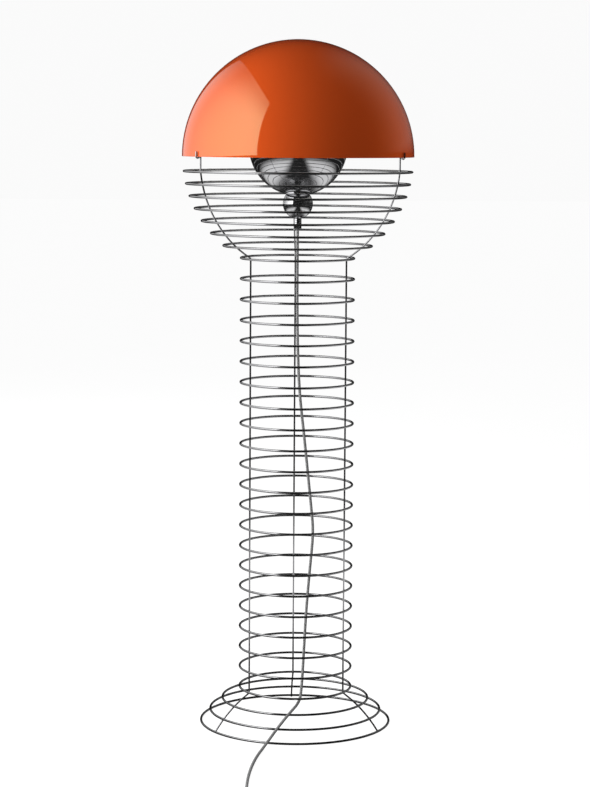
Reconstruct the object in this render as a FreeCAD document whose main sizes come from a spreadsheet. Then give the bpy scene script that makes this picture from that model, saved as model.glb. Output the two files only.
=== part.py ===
import FreeCAD, Part
import math
import os
import Sketcher

# A floor lamp shaped like a mushroom. A cage of welded wire rings is its foot, its column and
# the underside of its cap, and a half-round shade hangs on three hooks at the cage's rim.
# Millimetres, +Z up. The origin is on the floor, on the lamp's axis. Every ring is numbered
# from the top down.

os.makedirs("parts", exist_ok=True)
doc = FreeCAD.newDocument("mushroom_floor_lamp")

# ---------------------------------------------------------------- driving sizes
sheet = doc.addObject("Spreadsheet::Sheet", "Sizes")
SIZES = [
    ("ring_wire", 4.0, "wire of the rings"),
    ("upright_wire", 3.0, "wire of the uprights and hooks"),
    ("weld", 0.15, "how far crossing wires are set into each other at a weld"),
    ("foot_rings", 3, "rings of the foot"),
    ("column_rings", 22, "rings of the column"),
    ("bowl_rings", 7, "rings of the bowl under the shade"),
    ("foot_pitch", 20.25, "height from one foot ring to the next"),
    ("column_pitch", 36.0, "height from one column ring to the next"),
    ("bowl_drop", 22.95, "middle of the bowl's ball down to the top bowl ring"),
    ("column_radius", 98.0, "axis to the wire's middle in a column ring"),
    ("foot_radius", 166.0, "axis to the wire's middle in the ring on the floor"),
    ("bowl_radius", 198.0, "ball that the bowl rings' wires lie on"),
    ("kink_radius", 6.0, "bend of an upright where column meets bowl or foot"),
    ("shoulder_radius", 30.0, "bend of an upright above the top bowl ring"),
    ("spoke_bend", 8.0, "bend of an upright where it turns inwards"),
    ("rim_rise", 2.5, "shade's rim above the middle of the bowl's ball"),
    ("shade_wall", 1.5, "wall of the shade"),
    ("shade_gap", 0.45, "play between the shade and a hook's arm"),
    ("seat_gap", 0.3, "play between pieces that come apart"),
    ("hook_rise", 9.0, "a hook's arms above the shade's rim"),
    ("reflector_radius", 85.0, "outside of the reflector's half ball"),
    ("reflector_rise", 18.0, "reflector's flange above the shade's rim"),
    ("reflector_wall", 1.0, "sheet of the reflector"),
    ("flange_reach", 7.0, "how far the reflector's flange stands out"),
    ("flange_play", 2.0, "reflector to the inside of its ring"),
    ("nipple_radius", 5.0, "outside of the threaded tube"),
    ("nipple_bore", 3.0, "bore radius of the threaded tube"),
    ("hole_play", 0.1, "play of the threaded tube in a plain hole"),
    ("nut_radius", 8.0, "corners of the hexagon nut"),
    ("nut_height", 4.0, "height of the hexagon nut"),
    ("cover_radius", 26.0, "outside of the small ball"),
    ("cover_wall", 1.0, "sheet of the small ball"),
    ("cover_drop", 98.7, "reflector's middle down to the small ball's middle"),
    ("gland_radius", 6.5, "outside of the neck that the cord leaves"),
    ("gland_length", 18.0, "length of that neck"),
    ("gland_pocket", 8.0, "depth that the cord sits in the neck"),
    ("gland_thread", 8.0, "depth that the threaded tube sits in the neck"),
    ("cord_radius", 2.5, "half of the cord's diameter"),
    ("cord_play", 0.05, "play of the cord in its holes"),
    ("wire_hole", 1.8, "radius of the hole for the cord's wires"),
    ("holder_radius", 19.0, "outside of the lampholder"),
    ("holder_base_height", 16.0, "height of the lampholder's lower half"),
    ("holder_body_height", 36.0, "height of the lampholder's upper half"),
    ("holder_wall", 4.0, "wall of the lampholder's lower half"),
    ("holder_web", 3.0, "floor of the lampholder's upper half"),
    ("nipple_grip", 7.0, "depth that the threaded tube sits in the lampholder"),
    ("sleeve_height", 25.0, "length of the screw sleeve"),
    ("sleeve_wall", 0.8, "sheet of the screw sleeve"),
    ("contact_radius", 5.0, "lampholder's middle contact"),
    ("contact_height", 2.0, "thickness of the middle contact"),
    ("cap_radius", 13.1, "outside of the bulb's cap"),
    ("cap_height", 22.0, "height of the bulb's cap"),
    ("cap_wall", 0.5, "sheet of the bulb's cap"),
    ("cap_button", 4.5, "radius of the bulb's middle contact"),
    ("cap_button_height", 3.0, "height of the bulb's middle contact"),
    ("bulb_radius", 30.0, "outside of the bulb's ball"),
    ("bulb_wall", 1.0, "glass of the bulb"),
    ("bulb_reach", 104.0, "from the cap's lower edge to the top of the glass"),
    ("neck_depth", 6.0, "depth that the glass sits in the cap"),
    ("switch_length", 72.0, "length of the foot switch along the cord"),
    ("switch_width", 30.0, "width of the foot switch"),
    ("switch_split", 7.0, "height of the foot switch's lower shell"),
    ("switch_height", 20.0, "height of both shells together"),
    ("switch_corner", 8.0, "rounding of the shells seen from above"),
    ("switch_edge", 2.5, "rounding of the upper shell's top edge"),
    ("switch_side", 3.0, "side walls of the foot switch"),
    ("switch_end", 11.0, "end blocks that hold the cord and the screws"),
    ("switch_skin", 2.2, "floor and roof of the foot switch"),
    ("switch_pocket", 8.0, "depth that the cord sits in the foot switch"),
    ("button_radius", 9.0, "push button"),
    ("button_play", 0.3, "play of the button in its hole and under the roof"),
    ("button_flange", 1.6, "how far the button's collar stands out"),
    ("button_rise", 4.0, "button above the roof"),
    ("button_collar", 1.5, "thickness of the button's collar"),
    ("button_skirt", 3.0, "button below its collar"),
    ("button_edge", 1.2, "rounding of the button's top edge"),
    ("screw_radius", 1.5, "shank of a switch screw"),
    ("screw_head", 2.8, "radius of its head"),
    ("screw_head_height", 2.0, "height of its head"),
    ("screw_sink", 0.5, "head below the switch's underside"),
    ("screw_length", 12.0, "shank below its head"),
    ("screw_aside", 8.5, "screw to the cord's line"),
    ("screw_along", 29.5, "screw to the switch's middle"),
    ("plug_length", 26.0, "plug's body along its pins"),
    ("plug_width", 34.0, "plug's body across its pins"),
    ("plug_height", 14.0, "plug's body from the floor up"),
    ("plug_corner", 5.0, "rounding of the plug's body"),
    ("relief_length", 22.0, "tapered cord sleeve of the plug"),
    ("relief_radius", 5.5, "that sleeve where it meets the plug"),
    ("relief_tip", 3.6, "that sleeve where the cord leaves it"),
    ("relief_pocket", 8.0, "depth that the cord sits in that sleeve"),
    ("pin_radius", 2.0, "half of a plug pin's diameter"),
    ("pin_length", 19.0, "pin that goes into the socket"),
    ("pin_root", 9.0, "pin inside the plug"),
    ("pin_root_radius", 1.7, "half of a pin's diameter inside the plug"),
    ("pin_groove", 1.0, "narrow part of a pin in front of the plug"),
    ("pin_spacing", 19.0, "middle of one pin to the other"),
    ("coil_middle", 27.5, "radius of the coil at the middle of its turns"),
    ("coil_step", 5.7, "spacing of the coil's turns, side by side and on each other"),
]
for row, (alias, value, note) in enumerate(SIZES, 1):
    sheet.set("A%d" % row, note)
    sheet.set("B%d" % row, str(value))
    sheet.setAlias("B%d" % row, alias)
doc.recompute()

# ---------------------------------------------------------------- derived sizes
derived = doc.addObject("App::VarSet", "Derived")


def derive(name, expression):
    """Adds a size that follows from others."""
    derived.addProperty("App::PropertyFloat", name, "Derived")
    derived.setExpression(name, expression.replace("~", "Sizes.").replace("@", "Derived."))
    doc.recompute()


def bind(text):
    """~name is a driving size and @name a derived one."""
    return text.replace("~", "Sizes.").replace("@", "Derived.")


def amount(text):
    """The number that such a text stands for."""
    return float(sheet.evalExpression(bind(text)))


derive("foot_floor", "~ring_wire / 2")
derive("column_foot", "@foot_floor + ~foot_rings * ~foot_pitch")
derive("column_top", "@column_foot + (~column_rings - 1) * ~column_pitch")
derive("bowl_middle", "@column_top + sqrt(~bowl_radius^2 - ~column_radius^2)")
derive("bowl_pitch", "(@bowl_middle - ~bowl_drop - @column_top) / ~bowl_rings")
derive("foot_middle", "(~column_radius^2 + @column_foot^2 - ~foot_radius^2 - @foot_floor^2)"
       " / (2 * (@column_foot - @foot_floor))")
derive("foot_ball", "sqrt(~foot_radius^2 + (@foot_floor - @foot_middle)^2)")
# how far inside a ring's wire the upright's wire lies
derive("weld_step", "(~ring_wire + ~upright_wire) / 2 - ~weld")
derive("upright_radius", "~column_radius - @weld_step")
derive("bowl_bend", "~bowl_radius - @weld_step")
derive("foot_bend", "@foot_ball - @weld_step")
# the top bowl ring seen from the middle of the ball: its sine and cosine below the level
derive("top_sine", "~bowl_drop / ~bowl_radius")
derive("top_cosine", "sqrt(1 - @top_sine^2)")
derive("shoulder_height", "@bowl_middle - (@bowl_bend - ~shoulder_radius) * @top_sine")
derive("shoulder_inset", "(@bowl_bend - ~shoulder_radius) * @top_cosine")
derive("hanger_radius", "@shoulder_inset + ~shoulder_radius")
derive("rim_height", "@bowl_middle + ~rim_rise")
derive("shade_inside", "@hanger_radius + 1.5 * ~upright_wire + ~shade_gap")
derive("shade_radius", "@shade_inside + ~shade_wall")
derive("hook_inner", "@hanger_radius + ~upright_wire - ~weld")
derive("hook_outer", "@shade_radius + ~shade_gap + ~upright_wire / 2")
derive("hook_bend", "(@hook_outer - @hook_inner) / 2")
derive("hook_middle", "(@hook_outer + @hook_inner) / 2")
# the rim's corners touch the inside of the hook's round bottom, less the play
derive("saddle_radius", "@hook_bend - ~upright_wire / 2")
derive("rim_offset", "max(@shade_radius - @hook_middle; @hook_middle - @shade_inside)")
derive("hook_turn", "@rim_height - ~seat_gap + sqrt(@saddle_radius^2 - @rim_offset^2)")
derive("hook_top", "@rim_height + ~hook_rise")
derive("flange_height", "@rim_height + ~reflector_rise")
derive("reflector_inside", "~reflector_radius - ~reflector_wall")
derive("carrier_radius", "~reflector_radius + ~flange_play + ~ring_wire / 2")
derive("carrier_height", "@flange_height - ~ring_wire / 2")
derive("spoke_start", "@carrier_radius + ~ring_wire / 2 - ~weld")
derive("nipple_hole", "~nipple_radius + ~hole_play")
derive("reflector_hole_outside", "@flange_height - sqrt(~reflector_radius^2 - @nipple_hole^2)")
derive("reflector_hole_inside", "@flange_height - sqrt(@reflector_inside^2 - @nipple_hole^2)")
derive("nut_top", "@flange_height - ~reflector_radius")
derive("cover_middle", "@flange_height - ~cover_drop")
derive("cover_inside", "~cover_radius - ~cover_wall")
derive("gland_top", "@cover_middle - sqrt(~cover_radius^2 - @nipple_hole^2)")
derive("cover_hole_inside", "@cover_middle - sqrt(@cover_inside^2 - @nipple_hole^2)")
derive("gland_mouth", "@gland_top - ~gland_length")
derive("cord_start", "@gland_mouth + ~gland_pocket")
derive("nipple_foot", "@gland_top - ~gland_thread")
derive("holder_foot", "@flange_height - sqrt(@reflector_inside^2 - ~holder_radius^2)")
derive("nipple_top", "@holder_foot + ~nipple_grip")
derive("holder_split", "@holder_foot + ~holder_base_height")
derive("holder_floor", "@holder_split + ~holder_web")
derive("holder_top", "@holder_split + ~holder_body_height")
derive("sleeve_inside", "~cap_radius + ~seat_gap")
derive("sleeve_outside", "@sleeve_inside + ~sleeve_wall")
derive("holder_bore", "@sleeve_outside + ~hole_play")
derive("bulb_contact", "@holder_floor + ~contact_height + ~seat_gap")
derive("cap_foot", "@bulb_contact + ~cap_button_height")
derive("cap_top", "@cap_foot + ~cap_height")
derive("cap_inside", "~cap_radius - ~cap_wall")
derive("bulb_middle", "@cap_foot + ~bulb_reach - ~bulb_radius")
derive("bulb_inside", "~bulb_radius - ~bulb_wall")
derive("glass_neck", "@cap_inside - ~bulb_wall")
derive("glass_foot", "@cap_top - ~neck_depth")
derive("glass_neck_top", "@bulb_middle - sqrt(~bulb_radius^2 - @cap_inside^2)")
derive("glass_throat_top", "@bulb_middle - sqrt(@bulb_inside^2 - @glass_neck^2)")


# ---------------------------------------------------------------- how pieces are made
nodes = []


def keep(piece, label):
    """Lists a finished piece under its own name."""
    piece.Label = label
    nodes.append(piece)
    return piece


def place(piece, along, text):
    """Ties one coordinate of a piece's Placement to the sizes."""
    piece.setExpression("Placement.Base." + along, bind(text))


def plane_of(body, role):
    return next(item for item in body.Origin.OriginFeatures if item.Role == role)


def sketch_on(body, name, role, offset="0"):
    """A sketch on one of the body's own planes, moved along its normal."""
    sketch = body.newObject("Sketcher::SketchObject", name)
    sketch.AttachmentSupport = [(plane_of(body, role), "")]
    sketch.MapMode = "FlatFace"
    if offset != "0":
        sketch.setExpression("AttachmentOffset.Base.z", bind(offset))
    return sketch


def hold(sketch, kind, value_text, *places):
    """A dimension of a sketch, tied to the sizes."""
    index = sketch.addConstraint(Sketcher.Constraint(kind, *places, amount(value_text)))
    sketch.setExpression("Constraints[%d]" % index, bind(value_text))


def hold_point(sketch, edge, end, across, up):
    """Ties one end of an edge to its place in the sketch."""
    for kind, text, axis in (("DistanceX", across, -2), ("DistanceY", up, -1)):
        if text == "0":
            sketch.addConstraint(Sketcher.Constraint("PointOnObject", edge, end, axis))
        else:
            hold(sketch, kind, text, edge, end)


def arc_through(start, end, radius, side):
    """A sketch arc of under a half circle; side says which hand of the chord its middle lies."""
    chord = end - start
    half = chord.Length / 2
    normal = FreeCAD.Vector(-chord.y, chord.x, 0).normalize() * side
    depth = math.sqrt(max(radius ** 2 - half ** 2, 0.0))
    middle = (start + end) / 2 + normal * depth
    top = (start + end) / 2 - middle
    top = top.normalize() * radius if top.Length > 1e-6 else normal * -radius
    return Part.Arc(start, middle + top, end)


def draw(sketch, corners, closed=True):
    """Draws lines and arcs from corner to corner.

    A corner is (across, up) before a line, or (across, up, radius, side) before an arc.
    """
    spots = [FreeCAD.Vector(amount(c[0]), amount(c[1]), 0) for c in corners]
    count = len(corners) if closed else len(corners) - 1
    edges = []
    for i in range(count):
        start, end = spots[i], spots[(i + 1) % len(spots)]
        corner = corners[i]
        if len(corner) == 2:
            edges.append(sketch.addGeometry(Part.LineSegment(start, end)))
        else:
            edges.append(sketch.addGeometry(arc_through(start, end, amount(corner[2]), corner[3])))
    for i in range(count - 1 if not closed else count):
        sketch.addConstraint(Sketcher.Constraint("Coincident", edges[i], far_end(sketch, edges[i], spots, i),
                                                 edges[(i + 1) % count],
                                                 near_end(sketch, edges[(i + 1) % count], spots,
                                                          (i + 1) % len(spots))))
    for i in range(count):
        hold_point(sketch, edges[i], near_end(sketch, edges[i], spots, i), corners[i][0], corners[i][1])
        if len(corners[i]) == 4:
            hold(sketch, "Radius", corners[i][2], edges[i])
    if not closed:
        last = count - 1
        hold_point(sketch, edges[last], far_end(sketch, edges[last], spots, last),
                   corners[count][0], corners[count][1])
    doc.recompute()
    return sketch


def near_end(sketch, edge, spots, i):
    """Which end of an edge lies at corner i: 1 is its start and 2 its end."""
    at_start = (sketch.getPoint(edge, 1) - spots[i]).Length
    at_end = (sketch.getPoint(edge, 2) - spots[i]).Length
    return 1 if at_start < at_end else 2


def far_end(sketch, edge, spots, i):
    return 3 - near_end(sketch, edge, spots, i)


def turned(label, corners):
    """A body turned about the lamp's axis from corners given as (radius, height)."""
    body = doc.addObject("PartDesign::Body", label)
    profile = draw(sketch_on(body, label + "_profile", "XZ_Plane"), corners)
    turn = body.newObject("PartDesign::Revolution", label + "_turn")
    turn.Profile = profile
    turn.ReferenceAxis = (profile, ["V_Axis"])
    turn.Angle = 360
    doc.recompute()
    return keep(body, label)


def piped(label, path, wire, role, offset, across, up):
    """A bent wire: a round profile at the path's start, swept along the path."""
    body = doc.addObject("PartDesign::Body", label)
    spine = draw(sketch_on(body, label + "_path", "XZ_Plane"), path, closed=False)
    profile = sketch_on(body, label + "_wire", role, offset)
    middle = FreeCAD.Vector(amount(across), amount(up), 0)
    circle = profile.addGeometry(Part.Circle(middle, FreeCAD.Vector(0, 0, 1), amount(wire)))
    hold_point(profile, circle, 3, across, up)
    hold(profile, "Radius", wire, circle)
    doc.recompute()
    pipe = body.newObject("PartDesign::AdditivePipe", label + "_pipe")
    pipe.Profile = profile
    pipe.Spine = (spine, [""])
    pipe.Mode = "Standard"
    pipe.Transition = "Transformed"
    doc.recompute()
    return body


def cylinder(name, radius, height, axis="z"):
    """A plain cylinder that other shapes are cut from or joined to."""
    shape = doc.addObject("Part::Cylinder", name)
    shape.setExpression("Radius", bind(radius))
    shape.setExpression("Height", bind(height))
    if axis == "y":
        shape.Placement.Rotation = FreeCAD.Rotation(FreeCAD.Vector(1, 0, 0), -90)
    if axis == "x":
        shape.Placement.Rotation = FreeCAD.Rotation(FreeCAD.Vector(0, 1, 0), 90)
    return shape


def block(name, length, width, height):
    shape = doc.addObject("Part::Box", name)
    for side, text in (("Length", length), ("Width", width), ("Height", height)):
        shape.setExpression(side, bind(text))
    return shape


def cut(name, base, tools):
    """The base less every tool."""
    for i, tool in enumerate(tools):
        part = doc.addObject("Part::Cut", "%s_cut_%d" % (name, i + 1))
        part.Base = base
        part.Tool = tool
        base = part
    doc.recompute()
    return base


def fused(name, pieces):
    part = doc.addObject("Part::MultiFuse", name + "_joined")
    part.Shapes = pieces
    doc.recompute()
    return part


def rounded(name, base, picked, radius):
    """Rounds the edges that picked chooses."""
    fillet = doc.addObject("Part::Fillet", name + "_rounded")
    fillet.Base = base
    doc.recompute()
    size = amount(radius)
    fillet.Edges = [(i + 1, size, size) for i, edge in enumerate(base.Shape.Edges) if picked(edge)]
    doc.recompute()
    return fillet


# ---------------------------------------------------------------- the cage's rings
def ring(label, radius, height):
    """One closed ring of the ring wire, level on the lamp's axis."""
    torus = doc.addObject("Part::Torus", label)
    torus.setExpression("Radius1", bind(radius))
    torus.setExpression("Radius2", bind("~ring_wire / 2"))
    place(torus, "z", height)
    return keep(torus, label)


for number in range(1, int(amount("~bowl_rings")) + 1):
    height = "(@column_top + (~bowl_rings + 1 - %d) * @bowl_pitch)" % number
    ring("bowl_ring_%d" % number, "sqrt(~bowl_radius^2 - (@bowl_middle - %s)^2)" % height, height)
for number in range(1, int(amount("~column_rings")) + 1):
    ring("column_ring_%d" % number, "~column_radius",
         "@column_foot + (~column_rings - %d) * ~column_pitch" % number)
for number in range(1, int(amount("~foot_rings")) + 1):
    height = "(@foot_floor + (~foot_rings - %d) * ~foot_pitch)" % number
    ring("foot_ring_%d" % number, "sqrt(@foot_ball^2 - (%s - @foot_middle)^2)" % height, height)
# the small ring that the spokes carry; the reflector's flange rests on it
ring("reflector_ring", "@carrier_radius", "@carrier_height")

# ---------------------------------------------------------------- uprights and hooks
SIDES = (("left", 210), ("right", 330), ("back", 90))
# Each bend's middle lies off the ball or line that it leaves, by the kink's radius.
derive("kink_middle", "@upright_radius + ~kink_radius")
derive("bowl_kink_rise", "sqrt((@bowl_bend + ~kink_radius)^2 - @kink_middle^2)")
derive("bowl_kink_share", "@bowl_bend / (@bowl_bend + ~kink_radius)")
derive("foot_kink_rise", "sqrt((@foot_bend + ~kink_radius)^2 - @kink_middle^2)")
derive("foot_kink_share", "@foot_bend / (@foot_bend + ~kink_radius)")
# The wire is drawn to a little below the floor and then cut off flush with it.
derive("below_floor", "@foot_floor")
derive("wire_end", "sqrt(@foot_bend^2 - (-@below_floor - @foot_middle)^2)")
UPRIGHT_PATH = [
    ("@spoke_start", "@carrier_height"),
    ("@hanger_radius - ~spoke_bend", "@carrier_height", "~spoke_bend", -1),
    ("@hanger_radius", "@carrier_height - ~spoke_bend"),
    ("@hanger_radius", "@shoulder_height", "~shoulder_radius", -1),
    ("@bowl_bend * @top_cosine", "@bowl_middle - @bowl_bend * @top_sine", "@bowl_bend", -1),
    ("@kink_middle * @bowl_kink_share", "@bowl_middle - @bowl_kink_rise * @bowl_kink_share",
     "~kink_radius", 1),
    ("@upright_radius", "@bowl_middle - @bowl_kink_rise"),
    ("@upright_radius", "@foot_middle + @foot_kink_rise", "~kink_radius", 1),
    ("@kink_middle * @foot_kink_share", "@foot_middle + @foot_kink_rise * @foot_kink_share",
     "@foot_bend", -1),
    ("@wire_end", "-@below_floor"),
]
HOOK_PATH = [
    ("@hook_inner", "@hook_top"),
    ("@hook_inner", "@hook_turn", "@hook_bend", 1),
    ("@hook_middle", "@hook_turn - @hook_bend", "@hook_bend", 1),
    ("@hook_outer", "@hook_turn"),
    ("@hook_outer", "@hook_top"),
]
for side, azimuth in SIDES:
    turn_to_side = FreeCAD.Rotation(FreeCAD.Vector(0, 0, 1), azimuth)
    wire = piped("upright_wire_" + side, UPRIGHT_PATH, "~upright_wire / 2", "YZ_Plane",
                 "@spoke_start", "0", "@carrier_height")
    wire.Placement.Rotation = turn_to_side
    floor = block("floor_" + side, "4 * ~foot_radius", "4 * ~foot_radius", "4 * ~ring_wire")
    place(floor, "x", "-2 * ~foot_radius")
    place(floor, "y", "-2 * ~foot_radius")
    place(floor, "z", "-4 * ~ring_wire")
    keep(cut("upright_" + side, wire, [floor]), "upright_" + side)
    hook = piped("hook_" + side, HOOK_PATH, "~upright_wire / 2", "XY_Plane",
                 "@hook_top", "@hook_inner", "0")
    hook.Placement.Rotation = turn_to_side
    keep(hook, "shade_hook_" + side)

# ---------------------------------------------------------------- shade and reflector
# A plain half ball, open below, with a bare cut rim.
turned("shade", [
    ("@shade_inside", "@rim_height"),
    ("@shade_radius", "@rim_height", "@shade_radius", 1),
    ("0", "@rim_height + @shade_radius"),
    ("0", "@rim_height + @shade_inside", "@shade_inside", -1),
])
# A half ball, open above, whose flat flange rests on the small ring.
turned("reflector_bowl", [
    ("@nipple_hole", "@reflector_hole_outside", "~reflector_radius", 1),
    ("~reflector_radius", "@flange_height"),
    ("~reflector_radius + ~flange_reach", "@flange_height"),
    ("~reflector_radius + ~flange_reach", "@flange_height + ~reflector_wall"),
    ("@reflector_inside", "@flange_height + ~reflector_wall"),
    ("@reflector_inside", "@flange_height", "@reflector_inside", -1),
    ("@nipple_hole", "@reflector_hole_inside"),
])

# ---------------------------------------------------------------- under the reflector
# The small ball is cut off where it meets the reflector from below. The circle where the two
# balls meet gives the edge of its outside, and of its inside.
derive("meet_drop", "(~cover_drop^2 + ~reflector_radius^2 - ~cover_radius^2) / (2 * ~cover_drop)")
derive("meet_radius", "sqrt(~reflector_radius^2 - @meet_drop^2)")
derive("meet_drop_inside", "(~cover_drop^2 + ~reflector_radius^2 - @cover_inside^2) / (2 * ~cover_drop)")
derive("meet_radius_inside", "sqrt(~reflector_radius^2 - @meet_drop_inside^2)")
# Both spherical sheets are turned in two stretches, split at their widest, so that no arc is
# over a half circle.
turned("holder_cover", [
    ("@nipple_hole", "@gland_top", "~cover_radius", 1),
    ("~cover_radius", "@cover_middle", "~cover_radius", 1),
    ("@meet_radius", "@flange_height - @meet_drop"),
    ("@meet_radius_inside", "@flange_height - @meet_drop_inside", "@cover_inside", -1),
    ("@cover_inside", "@cover_middle", "@cover_inside", -1),
    ("@nipple_hole", "@cover_hole_inside"),
])
turned("nipple", [
    ("~nipple_bore", "@nipple_foot"),
    ("~nipple_radius", "@nipple_foot"),
    ("~nipple_radius", "@nipple_top"),
    ("~nipple_bore", "@nipple_top"),
])
turned("cord_gland", [
    ("~cord_radius + ~cord_play", "@gland_mouth"),
    ("~gland_radius", "@gland_mouth"),
    ("~gland_radius", "@gland_top"),
    ("~nipple_radius", "@gland_top"),
    ("~nipple_radius", "@nipple_foot"),
    ("~wire_hole", "@nipple_foot"),
    ("~wire_hole", "@cord_start"),
    ("~cord_radius + ~cord_play", "@cord_start"),
])
nut_block = doc.addObject("Part::Prism", "nut_block")
nut_block.Polygon = 6
nut_block.setExpression("Circumradius", bind("~nut_radius"))
nut_block.setExpression("Height", bind("~nut_height"))
place(nut_block, "z", "@nut_top - ~nut_height")
nut_bore = cylinder("nut_bore", "~nipple_radius", "3 * ~nut_height")
place(nut_bore, "z", "@nut_top - 2 * ~nut_height")
keep(cut("nipple_nut", nut_block, [nut_bore]), "nipple_nut")

# ---------------------------------------------------------------- lampholder and bulb
turned("lampholder_base", [
    ("~nipple_radius", "@holder_foot"),
    ("~holder_radius", "@holder_foot"),
    ("~holder_radius", "@holder_split"),
    ("~holder_radius - ~holder_wall", "@holder_split"),
    ("~holder_radius - ~holder_wall", "@nipple_top"),
    ("~nipple_radius", "@nipple_top"),
])
turned("lampholder_body", [
    ("~wire_hole", "@holder_split"),
    ("~holder_radius", "@holder_split"),
    ("~holder_radius", "@holder_top"),
    ("@holder_bore", "@holder_top"),
    ("@holder_bore", "@holder_floor"),
    ("~wire_hole", "@holder_floor"),
])
turned("lampholder_sleeve", [
    ("@sleeve_inside", "@holder_floor"),
    ("@sleeve_outside", "@holder_floor"),
    ("@sleeve_outside", "@holder_floor + ~sleeve_height"),
    ("@sleeve_inside", "@holder_floor + ~sleeve_height"),
])
turned("lampholder_contact", [
    ("0", "@holder_floor"),
    ("~contact_radius", "@holder_floor"),
    ("~contact_radius", "@holder_floor + ~contact_height"),
    ("0", "@holder_floor + ~contact_height"),
])
turned("bulb_cap", [
    ("0", "@bulb_contact"),
    ("~cap_button", "@bulb_contact"),
    ("~cap_button", "@cap_foot"),
    ("~cap_radius", "@cap_foot"),
    ("~cap_radius", "@cap_top"),
    ("@cap_inside", "@cap_top"),
    ("@cap_inside", "@cap_foot + ~cap_wall"),
    ("0", "@cap_foot + ~cap_wall"),
])
turned("bulb_glass", [
    ("@glass_neck", "@glass_foot"),
    ("@cap_inside", "@glass_foot"),
    ("@cap_inside", "@glass_neck_top", "~bulb_radius", 1),
    ("~bulb_radius", "@bulb_middle", "~bulb_radius", 1),
    ("0", "@bulb_middle + ~bulb_radius"),
    ("0", "@bulb_middle + @bulb_inside", "@bulb_inside", -1),
    ("@bulb_inside", "@bulb_middle", "@bulb_inside", -1),
    ("@glass_neck", "@glass_throat_top"),
])

# ---------------------------------------------------------------- the cord's routes
# Points in millimetres. The cord hangs in the column, leaves it above the foot, crosses the
# foot's rings and runs over the floor to its foot switch. A short link leads from there to the
# wound length, whose end holds the plug.
CORD_LEVEL = amount("~cord_radius")
SWITCH_LEVEL = amount("~switch_split")
CORD_RUN = [
    (0.0, 0.0, amount("@cord_start")),
    (-0.5, -1.5, 800.0),
    (-0.2, -4.0, 728.0),
    (1.1, -6.1, 655.0),
    (4.5, -8.2, 583.0),
    (12.6, -9.5, 513.0),
    (19.7, -10.3, 445.0),
    (26.1, -11.1, 383.0),
    (30.4, -12.2, 340.0),
    (24.1, -18.0, 276.0),
    (17.5, -30.7, 204.0),
    (13.1, -47.6, 134.0),
    (10.1, -62.5, 91.0),
    (7.6, -73.7, 67.7),
    (5.2, -83.3, 58.3),
    (0.5, -95.1, 53.2),
    (-2.7, -109.0, 53.0),
    (-7.1, -123.8, 52.6),
    (-13.4, -136.6, 49.3),
    (-22.5, -146.6, 41.3),
    (-36.3, -157.5, 26.8),
    (-49.4, -169.2, 11.8),
    (-57.3, -181.8, 4.6),
    (-63.1, -200.6, CORD_LEVEL),
    (-69.3, -226.4, CORD_LEVEL),
    (-76.0, -260.2, CORD_LEVEL),
    (-82.6, -301.9, CORD_LEVEL),
    (-88.5, -351.7, CORD_LEVEL),
    (-92.2, -404.6, CORD_LEVEL),
    (-93.6, -446.0, CORD_LEVEL),
    (-94.0, -466.0, 4.6),
    (-94.0, -484.0, SWITCH_LEVEL),
    (-94.0, -498.0, SWITCH_LEVEL),
]
CORD_LINK = [
    (-94.0, -554.0, SWITCH_LEVEL),
    (-94.2, -571.0, 6.6),
    (-93.6, -588.0, 3.6),
    (-86.0, -600.8, CORD_LEVEL),
    (-73.4, -607.6, CORD_LEVEL),
    (-58.8, -607.4, CORD_LEVEL),
    (-46.2, -600.0, CORD_LEVEL),
    (-38.8, -587.2, CORD_LEVEL),
    (-38.0, -571.5, CORD_LEVEL),
    (-38.0, -556.0, CORD_LEVEL),
]
# The wound length lies in four layers of two turns. It spirals in and out by turns, and climbs
# a layer in the half turn where the spiral turns back.
COIL_LAYERS = 4
COIL_TURNS = 2
COIL_EXTRA = 0.25
# From the coil's last turn down to the plug, measured from that turn's end.
CORD_TAIL = [
    (17.0, -0.1, -0.2),
    (34.0, -0.6, -4.1),
    (52.0, -1.2, -10.6),
    (66.0, -1.4, -12.6),
    (78.0, -1.4, -12.6),
]


def bent_line(points):
    """Straight runs joined by tangent arcs, each as large as its two runs allow."""
    spots = [FreeCAD.Vector(*point) for point in points]
    edges = []
    radii = []
    at = spots[0]
    for before, corner, after in zip(spots, spots[1:], spots[2:]):
        came = (corner - before).normalize()
        goes = (after - corner).normalize()
        half_turn = came.getAngle(goes) / 2
        trim = 0.45 * min((corner - before).Length, (after - corner).Length)
        radius = trim / math.tan(half_turn)
        radii.append(radius)
        start = corner - came * trim
        end = corner + goes * trim
        inwards = (goes - came).normalize()
        middle = corner + inwards * (radius / math.cos(half_turn) - radius)
        edges.append(Part.LineSegment(at, start).toShape())
        edges.append(Part.Arc(start, middle, end).toShape())
        at = end
    edges.append(Part.LineSegment(at, spots[-1]).toShape())
    return edges, radii


def arc_pair(start, start_way, end, end_way):
    """Two arcs that run tangent from one point and direction to another."""
    gap = end - start
    ways = start_way + end_way
    square = 2 * (1 - start_way.dot(end_way))
    reach = gap.dot(ways)
    arm = (-reach + math.sqrt(reach ** 2 + square * gap.dot(gap))) / square
    first = start + start_way * arm
    second = end - end_way * arm
    joint = (first + second) / 2
    return [arc_to(start, first, joint), arc_to(joint, second, end)]


def arc_to(start, corner, end):
    """The arc from start to end whose two tangents meet at corner."""
    chord = (start + end) / 2
    half_chord = (end - start).Length / 2
    rise = (corner - chord).Length
    half_turn = math.atan2(rise, half_chord)
    top = chord + (corner - chord).normalize() * half_chord * math.tan(half_turn / 2)
    return Part.Arc(start, top, end).toShape()


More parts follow.
